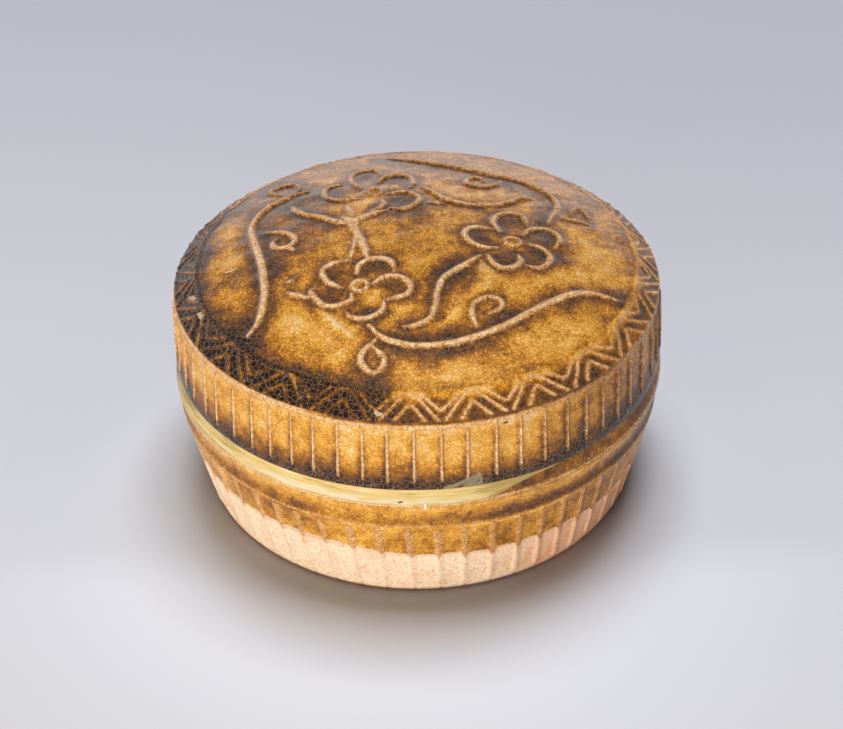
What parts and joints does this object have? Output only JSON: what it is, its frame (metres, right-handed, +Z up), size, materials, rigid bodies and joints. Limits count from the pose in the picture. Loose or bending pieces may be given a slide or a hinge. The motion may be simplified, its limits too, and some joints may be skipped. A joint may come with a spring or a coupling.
{
  "type": "cosmetic box",
  "caption": "Round glazed stoneware cosmetic box: ribbed tapering base with a well, and a domed lid with a raised flower scroll that lifts off.",
  "frame": {"origin": "centre of the foot, on the surface the box stands on", "axes": "+Z up along the box's axis; -Y faces the camera of the picture, +X is to its right"},
  "size_m": [0.1128, 0.1128, 0.0634],
  "materials": {
    "base_stoneware": "amber glaze that stops in an uneven line above the foot, bare buff stoneware below",
    "lid_stoneware": "glossy crackled amber glaze, pooled dark brown in the hollows and thin and pale on the raised lines"
  },
  "bodies": {
    "base": {"base": "base_stoneware"},
    "lid": {"lid": "lid_stoneware"}
  },
  "joints": [
    {"name": "lid_lift", "type": "slide", "parent": "base", "child": "lid", "axis": [0, 0, 1], "range_m": [0, 0.045]}
  ]
}
